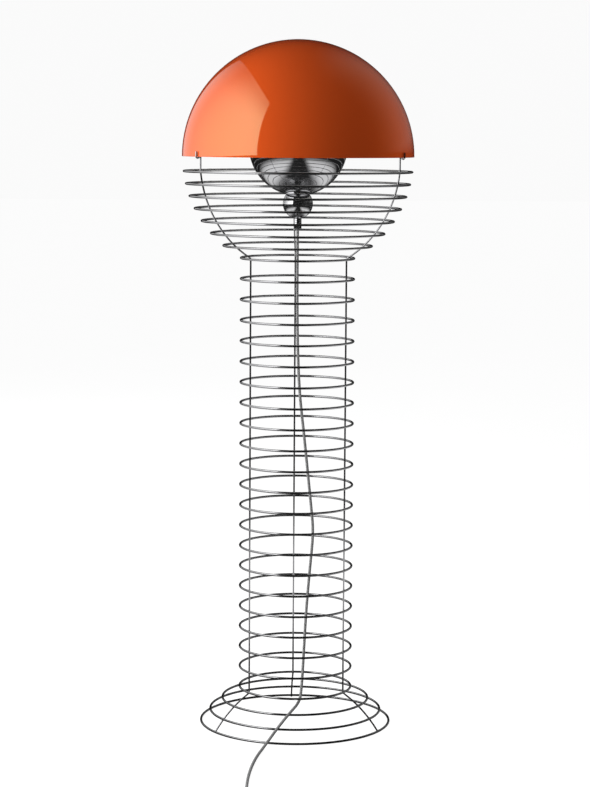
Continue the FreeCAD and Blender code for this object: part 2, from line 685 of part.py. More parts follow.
def tube(label, edges, straight):
    """A round tube along a chain of edges, drawn from a disc at its start."""
    spine = Part.Wire(edges)
    start = edges[0].valueAt(edges[0].FirstParameter)
    way = edges[0].tangentAt(edges[0].FirstParameter)
    disc = Part.Wire(Part.Circle(start, way, amount("~cord_radius")).toShape())
    shell = Part.BRepOffsetAPI.MakePipeShell(spine)
    if straight:
        shell.setTransitionMode(1)
    shell.add(disc)
    shell.build()
    shell.makeSolid()
    piece = doc.addObject("Part::Feature", label)
    piece.Shape = shell.shape()
    length = sum(edge.Length for edge in edges)
    whole = math.pi * amount("~cord_radius") ** 2 * length
    print("%s: length %.1f mm, volume %.4f of section x length" % (label, length, piece.Shape.Volume / whole))
    return keep(piece, label)


def coil_place(turns, middle, outer, step):
    """A point of the coil's line after so many turns, and its direction there."""
    layer = min(int(turns / COIL_TURNS), COIL_LAYERS - 1)
    inwards = layer % 2 == 0
    wound = turns - layer * COIL_TURNS
    radius = outer - step * wound if inwards else outer - step * (COIL_TURNS - wound)
    nearest = min(range(1, COIL_LAYERS), key=lambda k: abs(turns - k * COIL_TURNS))
    climbed = (turns - nearest * COIL_TURNS) * 2 + 0.5
    share = min(max(climbed, 0.0), 1.0)
    level = nearest - 1 + (1 - math.cos(math.pi * share)) / 2
    angle = math.pi - 2 * math.pi * turns
    spot = FreeCAD.Vector(middle.x + radius * math.cos(angle), middle.y + radius * math.sin(angle),
                          middle.z + step * level)
    turning_back = abs(turns - nearest * COIL_TURNS) < 0.01
    inward_rate = 0.0 if turning_back or turns == 0 else step / (2 * math.pi) * (1 if inwards else -1)
    climb_rate = step / 2 * math.sin(math.pi * share)
    way = FreeCAD.Vector(radius * math.sin(angle) - inward_rate * math.cos(angle),
                         -radius * math.cos(angle) - inward_rate * math.sin(angle), climb_rate)
    return spot, way.normalize()


def coil_edges():
    """The coil's line: a short straight start, the turns as pairs of arcs, and the tail."""
    step = amount("~coil_step")
    outer = amount("~coil_middle") + step * COIL_TURNS / 2
    entry = FreeCAD.Vector(*CORD_LINK[-1])
    lead = FreeCAD.Vector(0, 2 * amount("~cord_radius"), 0)
    middle = entry + lead + FreeCAD.Vector(outer, 0, 0)
    edges = [Part.LineSegment(entry, entry + lead).toShape()]
    quarters = int((COIL_LAYERS * COIL_TURNS + COIL_EXTRA) * 4)
    stops = [coil_place(i / 4, middle, outer, step) for i in range(quarters + 1)]
    for (start, start_way), (end, end_way) in zip(stops, stops[1:-1]):
        edges += arc_pair(start, start_way, end, end_way)
    start, start_way = stops[-2]
    end = stops[-1][0]
    edges += arc_pair(start, start_way, end, FreeCAD.Vector(1, 0, 0))
    tail = [(0.0, 0.0, 0.0)] + CORD_TAIL
    tail_edges, radii = bent_line([tuple(end + FreeCAD.Vector(*point)) for point in tail])
    return edges + tail_edges, radii


def least_gap(edges):
    """The least clear distance between stretches of a wound tube that aren't neighbours."""
    samples = []
    travelled = 0.0
    for edge in edges:
        count = max(int(edge.Length / 3), 2)
        for i in range(count):
            share = edge.FirstParameter + (edge.LastParameter - edge.FirstParameter) * i / count
            samples.append((travelled + edge.Length * i / count, edge.valueAt(share)))
        travelled += edge.Length
    apart = 12 * amount("~cord_radius")
    closest = min((a - b).Length for i, (at, a) in enumerate(samples)
                  for along, b in samples[i + 1:] if along - at > apart)
    return closest - 2 * amount("~cord_radius")


run_edges, run_radii = bent_line(CORD_RUN)
link_edges, link_radii = bent_line(CORD_LINK)
wound_edges, tail_radii = coil_edges()
for name, radii in (("run", run_radii), ("link", link_radii), ("tail", tail_radii)):
    print("bend radii of the cord's %s: %s" % (name, " ".join("%.0f" % radius for radius in radii)))
print("least gap of the coil to itself: %.2f mm" % least_gap(wound_edges))
tube("cord_run", run_edges, True)
tube("cord_link", link_edges, True)
tube("cord_coil", wound_edges, False)

# ---------------------------------------------------------------- foot switch
# It lies along the cord. Its two shells meet at the cord's middle, and the cord and the link
# sit in channels that both shells share.
derive("switch_x", "%g" % CORD_RUN[-1][0])
derive("switch_near", "%g + ~switch_pocket" % CORD_RUN[-1][1])
derive("switch_y", "@switch_near - ~switch_length / 2")
derive("switch_far", "@switch_near - ~switch_length")
derive("roof_height", "~switch_height - ~switch_skin")
derive("channel_radius", "~cord_radius + ~cord_play")
derive("screw_seat", "~screw_sink + ~screw_head_height")
derive("button_shoulder", "@roof_height - ~button_play")


def upright_edge(edge):
    """True for the straight edges of a block that stand up."""
    ends = [vertex.Point for vertex in edge.Vertexes]
    return len(ends) == 2 and abs(ends[0].x - ends[1].x) + abs(ends[0].y - ends[1].y) < 1e-6


def top_edge_at(height):
    """Picks the edges that lie at one height."""
    return lambda edge: all(abs(vertex.Z - height) < 1e-6 for vertex in edge.Vertexes)


def centred(piece, width, length, base):
    """Sets a block on the switch's middle, its underside at the given height."""
    place(piece, "x", "@switch_x - %s / 2" % width)
    place(piece, "y", "@switch_y - %s / 2" % length)
    place(piece, "z", base)
    return piece


def cord_channels(shell):
    """The channels for the cord at both ends, and the holes for its wires behind them."""
    pieces = []
    for end, start in (("near", "@switch_near - ~switch_pocket"), ("far", "@switch_far")):
        channel = cylinder("%s_%s_channel" % (shell, end), "@channel_radius", "~switch_pocket", "y")
        place(channel, "x", "@switch_x")
        place(channel, "y", start)
        place(channel, "z", "~switch_split")
        pieces.append(channel)
    wires = cylinder(shell + "_wire_holes", "~wire_hole", "~switch_length - 2 * ~switch_pocket", "y")
    place(wires, "x", "@switch_x")
    place(wires, "y", "@switch_far + ~switch_pocket")
    place(wires, "z", "~switch_split")
    return pieces + [wires]


def screw_places():
    """Two screws, on opposite corners of the switch."""
    for name, hand in (("first", 1), ("second", -1)):
        yield name, "@switch_x + %d * ~screw_aside" % hand, "@switch_y + %d * ~screw_along" % hand


def at_screw(piece, x, y, height):
    for along, text in (("x", x), ("y", y), ("z", height)):
        place(piece, along, text)
    return piece


lower = centred(block("lower_block", "~switch_width", "~switch_length", "~switch_split"),
                "~switch_width", "~switch_length", "0")
lower_shape = rounded("switch_base", lower, upright_edge, "~switch_corner")
lower_room = centred(block("lower_room", "~switch_width - 2 * ~switch_side",
                           "~switch_length - 2 * ~switch_end", "~switch_split"),
                     "(~switch_width - 2 * ~switch_side)", "(~switch_length - 2 * ~switch_end)",
                     "~switch_skin")
lower_tools = [lower_room] + cord_channels("lower")
for name, x, y in screw_places():
    lower_tools.append(at_screw(cylinder(name + "_head_hole", "~screw_head + ~hole_play", "@screw_seat"),
                                x, y, "0"))
    lower_tools.append(at_screw(cylinder(name + "_shank_hole", "~screw_radius + ~hole_play",
                                         "~switch_split"), x, y, "0"))
keep(cut("switch_base", lower_shape, lower_tools), "switch_base")

upper = centred(block("upper_block", "~switch_width", "~switch_length", "~switch_height - ~switch_split"),
                "~switch_width", "~switch_length", "~switch_split")
upper_rounded = rounded("switch_cover_sides", upper, upright_edge, "~switch_corner")
upper_shape = rounded("switch_cover", upper_rounded, top_edge_at(amount("~switch_height")), "~switch_edge")
upper_room = centred(block("upper_room", "~switch_width - 2 * ~switch_side",
                           "~switch_length - 2 * ~switch_end", "@roof_height - ~switch_split"),
                     "(~switch_width - 2 * ~switch_side)", "(~switch_length - 2 * ~switch_end)",
                     "~switch_split")
button_hole = cylinder("button_hole", "~button_radius + ~button_play", "~switch_height")
place(button_hole, "x", "@switch_x")
place(button_hole, "y", "@switch_y")
place(button_hole, "z", "~switch_split")
upper_tools = [upper_room, button_hole] + cord_channels("upper")
for name, x, y in screw_places():
    upper_tools.append(at_screw(cylinder(name + "_thread_hole", "~screw_radius",
                                         "@screw_seat + ~screw_length - ~switch_split"),
                                x, y, "~switch_split"))
keep(cut("switch_cover", upper_shape, upper_tools), "switch_cover")

button = turned("switch_button", [
    ("0", "@button_shoulder - ~button_collar - ~button_skirt"),
    ("~button_radius", "@button_shoulder - ~button_collar - ~button_skirt"),
    ("~button_radius", "@button_shoulder - ~button_collar"),
    ("~button_radius + ~button_flange", "@button_shoulder - ~button_collar"),
    ("~button_radius + ~button_flange", "@button_shoulder"),
    ("~button_radius", "@button_shoulder"),
    ("~button_radius", "~switch_height + ~button_rise - ~button_edge", "~button_edge", 1),
    ("~button_radius - ~button_edge", "~switch_height + ~button_rise"),
    ("0", "~switch_height + ~button_rise"),
])
place(button, "x", "@switch_x")
place(button, "y", "@switch_y")

screws = []
for name, x, y in screw_places():
    head = at_screw(cylinder(name + "_screw_head", "~screw_head", "~screw_head_height"), x, y, "~screw_sink")
    shank = at_screw(cylinder(name + "_screw_shank", "~screw_radius", "~screw_length"), x, y, "@screw_seat")
    screws.append(fused(name + "_screw", [head, shank]))
screw_pair = doc.addObject("Part::Compound", "switch_screws")
screw_pair.Links = screws
keep(screw_pair, "switch_screws")

# ---------------------------------------------------------------- plug
# It lies flat at the end of the coil's tail and points away from the coil.
tail_end = wound_edges[-1].valueAt(wound_edges[-1].LastParameter)
derive("relief_start", "%g - ~relief_pocket" % tail_end.x)
derive("plug_back", "@relief_start + ~relief_length")
derive("plug_face", "@plug_back + ~plug_length")
derive("plug_y", "%g" % tail_end.y)
derive("plug_z", "~plug_height / 2")


def lengthways_edge(edge):
    """True for the straight edges of a block that run along the pins."""
    ends = [vertex.Point for vertex in edge.Vertexes]
    return len(ends) == 2 and abs(ends[0].y - ends[1].y) + abs(ends[0].z - ends[1].z) < 1e-6


def on_plug(piece, x, y, z="@plug_z"):
    for along, text in (("x", x), ("y", y), ("z", z)):
        place(piece, along, text)
    return piece


grip = on_plug(block("plug_block", "~plug_length", "~plug_width", "~plug_height"),
               "@plug_back", "@plug_y - ~plug_width / 2", "0")
grip_rounded = rounded("plug_grip", grip, lengthways_edge, "~plug_corner")
relief = doc.addObject("Part::Cone", "plug_relief")
relief.setExpression("Radius1", bind("~relief_tip"))
relief.setExpression("Radius2", bind("~relief_radius"))
relief.setExpression("Height", bind("~relief_length"))
relief.Placement.Rotation = FreeCAD.Rotation(FreeCAD.Vector(0, 1, 0), 90)
on_plug(relief, "@relief_start", "@plug_y")
pocket = on_plug(cylinder("plug_pocket", "~cord_radius + ~cord_play", "~relief_pocket", "x"),
                 "@relief_start", "@plug_y")
holes = [pocket]
pins = []
for name, hand in (("left", 1), ("right", -1)):
    y = "@plug_y + %d * ~pin_spacing / 2" % hand
    holes.append(on_plug(cylinder(name + "_pin_hole", "~pin_root_radius", "~pin_root", "x"),
                         "@plug_face - ~pin_root", y))
    root = on_plug(cylinder(name + "_pin_root", "~pin_root_radius", "~pin_root + ~pin_groove", "x"),
                   "@plug_face - ~pin_root", y)
    shank = on_plug(cylinder(name + "_pin_shank", "~pin_radius", "~pin_length", "x"),
                    "@plug_face + ~pin_groove", y)
    pins.append(fused(name + "_pin", [root, shank]))
keep(cut("plug_body", fused("plug_body", [grip_rounded, relief]), holes), "plug_body")
pin_pair = doc.addObject("Part::Compound", "plug_pins")
pin_pair.Links = pins
keep(pin_pair, "plug_pins")

# ---------------------------------------------------------------- checks and files
doc.recompute()
failed = [item.Label for item in doc.Objects if "Invalid" in item.State or "Error" in item.State]
if failed:
    raise RuntimeError("failed objects: " + ", ".join(failed))
for node in nodes:
    if node.Shape.isNull() or not node.Shape.isValid():
        raise RuntimeError("no sound shape: " + node.Label)
for node in nodes:
    node.Shape.exportStep("parts/%s.step" % node.Label)
print("%d nodes" % len(nodes))
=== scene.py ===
"""Floor lamp with a half-round orange shade on a cage of welded chrome wire rings."""
import math

import bpy
from mathutils import Matrix, Vector


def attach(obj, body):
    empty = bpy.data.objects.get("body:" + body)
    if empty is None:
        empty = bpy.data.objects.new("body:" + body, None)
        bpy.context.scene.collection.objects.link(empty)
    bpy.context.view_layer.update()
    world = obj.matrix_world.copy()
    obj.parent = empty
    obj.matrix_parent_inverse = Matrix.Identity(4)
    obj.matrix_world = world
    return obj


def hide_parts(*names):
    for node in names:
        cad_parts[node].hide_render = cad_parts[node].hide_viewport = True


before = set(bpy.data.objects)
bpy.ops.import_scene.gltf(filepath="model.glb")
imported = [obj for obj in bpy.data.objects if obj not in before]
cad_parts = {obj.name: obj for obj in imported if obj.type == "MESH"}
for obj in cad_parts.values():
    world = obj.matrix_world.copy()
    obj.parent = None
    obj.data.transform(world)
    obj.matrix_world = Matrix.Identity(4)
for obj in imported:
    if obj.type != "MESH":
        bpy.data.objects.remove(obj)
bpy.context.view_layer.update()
scene = bpy.context.scene

# Camera: where the photographer stood, 3.7 m in front of the lamp and a little above its rim.
# Found by fitting all the rings; the long lens keeps the column's rings nearly level.
camera_data = bpy.data.cameras.new("photographer")
camera_data.sensor_fit = "VERTICAL"
camera_data.sensor_height = 36.0
camera_data.lens = 101.93
camera_data.clip_end = 60.0
camera = bpy.data.objects.new("photographer", camera_data)
scene.collection.objects.link(camera)
camera.matrix_world = (
    Matrix.Translation((-0.1549, -3.8556, 1.0365))
    @ Matrix.Rotation(math.radians(-2.256), 4, "Z")
    @ Matrix.Rotation(math.radians(83.291), 4, "X")
    @ Matrix.Rotation(math.radians(0.344), 4, "Z")
)
scene.camera = camera


# Wire rings: 32 closed rings of 4 mm steel wire, each bent round and butt welded at its back
# left, spot welded to the three uprights inside it, then polished and chrome plated.
class Link:
    """A value inside a finish. Arithmetic on it adds Math nodes to that finish."""

    def __init__(self, tree, socket):
        self.tree = tree
        self.socket = socket

    def node(self, kind, settings=(), sockets=(), output=0):
        """Adds a node: its settings first, then its sockets' values or links."""
        made = self.tree.nodes.new("ShaderNode" + kind)
        for name, value in dict(settings).items():
            if name == "stops":
                while len(made.color_ramp.elements) < len(value):
                    made.color_ramp.elements.new(1.0)
                for stop, (place, colour) in zip(made.color_ramp.elements, value):
                    stop.position = place
                    stop.color = colour
            else:
                setattr(made, name, value)
        for key, value in dict(sockets).items():
            if isinstance(value, Link):
                self.tree.links.new(value.socket, made.inputs[key])
            else:
                made.inputs[key].default_value = value
        return Link(self.tree, made.outputs[output])

    def worked_out(self, operation, first, second):
        return self.node("Math", {"operation": operation}, {0: first, 1: second})

    def __add__(self, other):
        return self.worked_out("ADD", self, other)

    def __radd__(self, other):
        return self.worked_out("ADD", other, self)

    def __sub__(self, other):
        return self.worked_out("SUBTRACT", self, other)

    def __rsub__(self, other):
        return self.worked_out("SUBTRACT", other, self)

    def __mul__(self, other):
        return self.worked_out("MULTIPLY", self, other)

    def __rmul__(self, other):
        return self.worked_out("MULTIPLY", other, self)

    def noise(self, scale, detail=2.0, stretch=(1.0, 1.0, 1.0)):
        """Cloudy noise from 0 to 1 on these coordinates, drawn out along an axis by stretch."""
        drawn = self.node("Mapping", {}, {"Vector": self, "Scale": stretch})
        return drawn.node("TexNoise", {}, {"Vector": drawn, "Scale": scale, "Detail": detail})

    def between(self, low, high):
        """0 below low, 1 above high, and smooth in between."""
        settings = {"interpolation_type": "SMOOTHSTEP"}
        return self.node("MapRange", settings, {"Value": self, "From Min": low, "From Max": high})

    def blend(self, first, second):
        """The first colour where this value is 0, and the second where it is 1."""
        return self.node("Mix", {"data_type": "RGBA"}, {0: self, 6: first, 7: second}, output=2)

    def bump(self, height, strength):
        """Bumps of that height in metres where this value is 1."""
        return self.node("Bump", {}, {"Height": self, "Distance": height, "Strength": strength})


def new_finish(name, **constants):
    """A finish with its constant values set; also its shader and its coordinates in metres."""
    finish = bpy.data.materials.new(name)
    finish.use_nodes = True
    shader = finish.node_tree.nodes["Principled BSDF"]
    for socket, value in constants.items():
        shader.inputs[socket.replace("_", " ")].default_value = value
    place = finish.node_tree.nodes.new("ShaderNodeTexCoord")
    return finish, shader, Link(finish.node_tree, place.outputs["Object"])


def feed(shader, **links):
    """Links values that change over the surface to the shader's sockets."""
    for socket, link in links.items():
        link.tree.links.new(link.socket, shader.inputs[socket.replace("_", " ")])


def grey(value):
    return (value, value, value, 1.0)


chrome_wire, shader, place = new_finish("chrome_wire", Metallic=1.0)
handled = place.noise(14.0, 4.0).between(0.45, 0.75)
drawn = place.noise(900.0, 2.0)
feed(
    shader,
    Base_Color=handled.blend((0.66, 0.66, 0.675, 1.0), (0.58, 0.575, 0.58, 1.0)),
    Roughness=0.06 + handled * 0.07 + drawn * 0.04,
    Normal=drawn.bump(0.00003, 0.25),
)

RING_WIRE = 0.004
COLUMN_RADIUS = 0.098
COLUMN_TOP = 0.81875
COLUMN_PITCH = 0.036
BALL_RADIUS = 0.198
BALL_MIDDLE = 0.9908
BOWL_TOP = 0.96785
BOWL_PITCH = 0.0213
UPRIGHTS_AT = {"left": 210, "right": 330, "back": 90}
SEAM_AT = math.radians(141)
RINGS = {
    "foot_ring_1": (0.12809, 0.0425),
    "foot_ring_2": (0.14964, 0.02225),
    "foot_ring_3": (0.166, 0.002),
}
for i in range(22):
    RINGS["column_ring_%d" % (i + 1)] = (COLUMN_RADIUS, COLUMN_TOP - COLUMN_PITCH * i)
for i in range(7):
    level = BOWL_TOP - BOWL_PITCH * i
    RINGS["bowl_ring_%d" % (i + 1)] = (math.sqrt(BALL_RADIUS ** 2 - (BALL_MIDDLE - level) ** 2), level)


def clear_bench():
    """Nothing selected and no piece in edit mode, before the next piece is begun."""
    if bpy.context.object and bpy.context.object.mode != "OBJECT":
        bpy.ops.object.mode_set(mode="OBJECT")
    bpy.ops.object.select_all(action="DESELECT")


def choose(piece, test):
    """Selects the piece's points that pass the test, in edit mode."""
    bpy.ops.object.mode_set(mode="EDIT")
    bpy.ops.mesh.select_mode(type="VERT")
    bpy.ops.mesh.select_all(action="DESELECT")
    bpy.ops.object.mode_set(mode="OBJECT")
    for point in piece.data.vertices:
        point.select = test(point.co)
    bpy.ops.object.mode_set(mode="EDIT")


def put_down(piece, name, finish, smooth_to=35.0):
    """Sets the place into the mesh, smooths and names the piece and gives it its finish."""
    clear_bench()
    bpy.context.view_layer.objects.active = piece
    piece.select_set(True)
    bpy.ops.object.transform_apply(location=True, rotation=True, scale=True)
    bpy.ops.object.shade_smooth_by_angle(angle=math.radians(smooth_to))
    piece.name = name
    piece.data.name = name
    if finish:
        piece.data.materials.append(finish)


def weld(radius, level, degrees, size):
    """A spot weld's small swelling, between a ring and the upright inside it."""
    turn = math.radians(degrees)
    spot = (radius * math.cos(turn), radius * math.sin(turn), level)
    bpy.ops.mesh.primitive_uv_sphere_add(
        segments=12, ring_count=8, radius=1.0, location=spot, rotation=(0, 0, turn), scale=size)
    bead = bpy.context.object
    choose(bead, lambda co: abs(co.z) > 0.8)
    bpy.ops.transform.resize(value=(1.3, 1.3, 0.9))
    bpy.ops.object.mode_set(mode="OBJECT")
    return bead


def wire_ring(name, radius, level, weld_radius):
    """One closed ring with its butt weld and its three spot welds."""
    clear_bench()
    bpy.ops.mesh.primitive_torus_add(
        location=(0, 0, level), major_segments=128, minor_segments=12,
        major_radius=radius, minor_radius=RING_WIRE / 2)
    ring = bpy.context.object
    seam = Vector((math.cos(SEAM_AT), math.sin(SEAM_AT))) * radius
    choose(ring, lambda co: (co.xy - seam).length < 0.0045)
    bpy.ops.transform.shrink_fatten(value=0.00018)
    bpy.ops.object.mode_set(mode="OBJECT")
    beads = [weld(weld_radius, level, at, (0.0011, 0.0021, 0.0017)) for at in UPRIGHTS_AT.values()]
    clear_bench()
    for bead in beads:
        bead.select_set(True)
    ring.select_set(True)
    bpy.context.view_layer.objects.active = ring
    bpy.ops.object.join()
    put_down(ring, name + "_wire", chrome_wire, 60)
    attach(ring, "cage")
    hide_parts(name)
    return ring


for name, (radius, level) in RINGS.items():
    wire_ring(name, radius, level, radius - RING_WIRE / 2)


# Uprights and hooks: three bent 3 mm wires that the rings are welded to, and a small hook on
# each at the rim. Same steel and the same plating as the rings.
def refinish(finish, *nodes):
    """Gives solids of the frame a finish."""
    for node in nodes:
        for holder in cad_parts[node].material_slots:
            holder.material = finish


for side in UPRIGHTS_AT:
    refinish(chrome_wire, "upright_" + side, "shade_hook_" + side)

# Carrying ring: a small ring of the same wire, on the uprights' ends under the shade.
# The reflector's flange lies on it.
wire_ring("reflector_ring", 0.089, 1.0093, 0.0912)


# Reflector: a half ball spun from 1 mm sheet with a flat flange, mirror polished and chromed.
# It hides the bulb from below and throws its light up into the shade.
chrome_sheet, shader, place = new_finish("chrome_sheet", Metallic=1.0)
smudge = place.noise(22.0, 5.0).between(0.5, 0.8)
spun = place.noise(60.0, 1.0, (0.15, 0.15, 9.0))
feed(
    shader,
    Base_Color=smudge.blend((0.72, 0.72, 0.735, 1.0), (0.66, 0.655, 0.66, 1.0)),
    Roughness=0.025 + smudge * 0.06,
    Normal=spun.bump(0.00004, 0.2),
)


def spun_ball(middle, radius, lower, upper):
    """The band of a ball between two heights, open at both, ready to be shaped on."""
    clear_bench()
    bpy.ops.mesh.primitive_uv_sphere_add(
        segments=96, ring_count=64, radius=radius, location=(0, 0, middle))
    ball = bpy.context.object
    bpy.ops.object.transform_apply(location=True)
    bpy.ops.object.mode_set(mode="EDIT")
    for height, side in ((upper, {"clear_outer": True}), (lower, {"clear_inner": True})):
        bpy.ops.mesh.select_all(action="SELECT")
        bpy.ops.mesh.bisect(plane_co=(0, 0, height), plane_no=(0, 0, 1), **side)
    bpy.ops.object.mode_set(mode="OBJECT")
    return ball


def sheet_wall(piece, wall, edge, inner_finish=0):
    """Gives a spun shell its wall, inwards, and rounds its edges."""
    clear_bench()
    bpy.context.view_layer.objects.active = piece
    piece.select_set(True)
    solid = piece.modifiers.new("wall", "SOLIDIFY")
    solid.thickness = wall
    solid.offset = -1.0
    solid.material_offset = inner_finish
    bpy.ops.object.modifier_apply(modifier=solid.name)
    rounding = piece.modifiers.new("edge", "BEVEL")
    rounding.width = edge
    rounding.segments = 3
    rounding.limit_method = "ANGLE"
    rounding.angle_limit = math.radians(50)
    bpy.ops.object.modifier_apply(modifier=rounding.name)


CHROME_SHEET = 0.001
REFLECTOR_MIDDLE = 1.0113
REFLECTOR_RADIUS = 0.085
REFLECTOR_DEPTH = 0.08484
FLANGE_RADIUS = 0.092
reflector = spun_ball(
    REFLECTOR_MIDDLE, REFLECTOR_RADIUS, REFLECTOR_MIDDLE - REFLECTOR_DEPTH, REFLECTOR_MIDDLE)
choose(reflector, lambda co: co.z > REFLECTOR_MIDDLE - 1e-5)
bpy.ops.mesh.extrude_region_move()
spread = FLANGE_RADIUS / REFLECTOR_RADIUS
bpy.ops.transform.resize(value=(spread, spread, 1.0), center_override=(0, 0, REFLECTOR_MIDDLE))
bpy.ops.object.mode_set(mode="OBJECT")
sheet_wall(reflector, CHROME_SHEET, 0.0003)
put_down(reflector, "reflector", chrome_sheet)
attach(reflector, "cage")
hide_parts("reflector_bowl")

# Holder cover: the small ball under the reflector, spun from the same sheet, open above. It
# hides the lampholder's lower end and is clamped by the threaded tube.
COVER_MIDDLE = 0.9126
COVER_RADIUS = 0.026
COVER_DEPTH = 0.02549
COVER_TOP = 0.9288
cover = spun_ball(COVER_MIDDLE, COVER_RADIUS, COVER_MIDDLE - COVER_DEPTH, COVER_TOP)
sheet_wall(cover, CHROME_SHEET, 0.0002)
put_down(cover, "ball_cover", chrome_sheet)
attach(cover, "cage")
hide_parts("holder_cover")

# Neck: a turned and chromed tube, screwed on the threaded tube's lower end. The cord leaves it.
NECK_MIDDLE = 0.8781
NECK_LENGTH = 0.018
NECK_RADIUS = 0.0065
NECK_WALL = 0.0038
NECK_MOUTH_DEPTH = 0.006
clear_bench()
bpy.ops.mesh.primitive_cylinder_add(
    vertices=64, radius=NECK_RADIUS, depth=NECK_LENGTH, location=(0, 0, NECK_MIDDLE))
neck = bpy.context.object
bpy.ops.object.transform_apply(location=True)
choose(neck, lambda co: co.z < NECK_MIDDLE)
bpy.ops.mesh.inset(thickness=NECK_WALL, depth=0.0)
bpy.ops.mesh.extrude_region_move(TRANSFORM_OT_translate={"value": (0, 0, NECK_MOUTH_DEPTH)})
bpy.ops.object.mode_set(mode="OBJECT")
turned_edge = neck.modifiers.new("edge", "BEVEL")
turned_edge.width = 0.0004
turned_edge.segments = 3
turned_edge.limit_method = "ANGLE"
turned_edge.angle_limit = math.radians(50)
bpy.ops.object.modifier_apply(modifier=turned_edge.name)
put_down(neck, "cord_neck", chrome_sheet)
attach(neck, "cage")
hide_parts("cord_gland")


# Lampholder: a moulded black holder with a brass screw sleeve and centre contact, clamped in
# the reflector by a threaded tube and a nut.
holder_plastic, shader, place = new_finish("holder_plastic", Specular_IOR_Level=0.4)
grain = place.noise(700.0, 3.0)
feed(
    shader,
    Base_Color=grain.blend(grey(0.018), grey(0.035)),
    Roughness=0.42 + grain * 0.15,
    Normal=grain.bump(0.00005, 0.3),
)
brass, shader, place = new_finish("brass", Metallic=1.0)
tarnish = place.noise(90.0, 4.0)
feed(
    shader,
    Base_Color=tarnish.blend((0.56, 0.36, 0.12, 1.0), (0.70, 0.50, 0.21, 1.0)),
    Roughness=0.22 + tarnish * 0.2,
    Normal=tarnish.bump(0.00004, 0.3),
)
nickel, shader, place = new_finish("nickel", Metallic=1.0)
worn = place.noise(120.0, 3.0, (1.0, 1.0, 0.2))
feed(
    shader,
    Base_Color=worn.blend((0.50, 0.49, 0.46, 1.0), (0.66, 0.65, 0.62, 1.0)),
    Roughness=0.2 + worn * 0.18,
    Normal=worn.bump(0.00003, 0.3),
)
refinish(holder_plastic, "lampholder_base", "lampholder_body")
refinish(brass, "lampholder_sleeve", "lampholder_contact")
refinish(nickel, "nipple", "nipple_nut")

# Bulb: a frosted glass bulb cemented in a nickel-plated screw cap.
bulb_glass, shader, place = new_finish(
    "bulb_glass", Transmission_Weight=0.55, IOR=1.45, Specular_IOR_Level=0.5)
frosting = place.noise(260.0, 3.0)
feed(
    shader,
    Base_Color=frosting.blend((0.90, 0.89, 0.86, 1.0), (0.96, 0.955, 0.94, 1.0)),
    Roughness=0.35 + frosting * 0.12,
    Normal=frosting.bump(0.00002, 0.2),
)
refinish(bulb_glass, "bulb_glass")
refinish(nickel, "bulb_cap")


# Shade: a half ball spun from 1.5 mm sheet, glossy orange enamel outside and white inside. It
# lies loosely in the three hooks and lifts straight off.
SHADE_RIM = 0.9933
SHADE_RADIUS = 0.19999
SHADE_SHEET = 0.0015
orange_enamel, shader, place = new_finish(
    "orange_enamel", Coat_Weight=0.7, Coat_Roughness=0.02, Coat_IOR=1.9, Specular_IOR_Level=0.9,
    Specular_Tint=(1.0, 1.0, 0.12, 1.0))
flow = place.noise(3.0, 2.0)
skin = place.noise(420.0, 1.0)
feed(
    shader,
    Base_Color=flow.blend((0.77, 0.093, 0.013, 1.0), (0.81, 0.101, 0.016, 1.0)),
    Roughness=0.04 + skin * 0.03,
    Normal=skin.bump(0.00002, 0.12),
)
white_enamel, shader, place = new_finish("white_enamel", Coat_Weight=0.4, Coat_Roughness=0.15)
flow = place.noise(5.0, 3.0)
skin = place.noise(380.0, 1.0)
feed(
    shader,
    Base_Color=flow.blend((0.80, 0.79, 0.76, 1.0), (0.85, 0.845, 0.82, 1.0)),
    Roughness=0.35 + skin * 0.1,
    Normal=skin.bump(0.00003, 0.2),
)
dome = spun_ball(SHADE_RIM, SHADE_RADIUS, SHADE_RIM, SHADE_RIM + 0.21)
dome.data.materials.append(orange_enamel)
dome.data.materials.append(white_enamel)
sheet_wall(dome, SHADE_SHEET, 0.0004, inner_finish=1)
put_down(dome, "shade_dome", None)
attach(dome, "shade")
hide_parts("shade")


# Cord: a round grey 5 mm cord. It hangs from the neck through the column, bends out over the
# foot rings and lies on the floor as far as the foot switch.
cord_grey, shader, place = new_finish("cord_grey", Specular_IOR_Level=0.45)
scuff = place.noise(160.0, 4.0)
jacket = place.noise(1400.0, 1.0)
feed(
    shader,
    Base_Color=scuff.blend(grey(0.26), grey(0.34)),
    Roughness=0.38 + scuff * 0.14,
    Normal=jacket.bump(0.00004, 0.3),
)
CORD = 0.005
FLOOR_LINE = 0.0025
SWITCH_LINE = 0.007


def cord_line(name, points):
    """A cord along one smooth line."""
    line = bpy.data.curves.new(name, "CURVE")
    line.dimensions = "3D"
    spline = line.splines.new("NURBS")
    spline.points.add(len(points) - 1)
    for knot, spot in zip(spline.points, points):
        knot.co = (*spot, 1.0)
    spline.order_u = 3
    spline.use_endpoint_u = True
    spline.resolution_u = 8
    line.bevel_depth = CORD / 2
    line.bevel_resolution = 5
    line.use_fill_caps = True
    line.materials.append(cord_grey)
    cord = bpy.data.objects.new(name, line)
    scene.collection.objects.link(cord)
    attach(cord, "cage")
    return cord


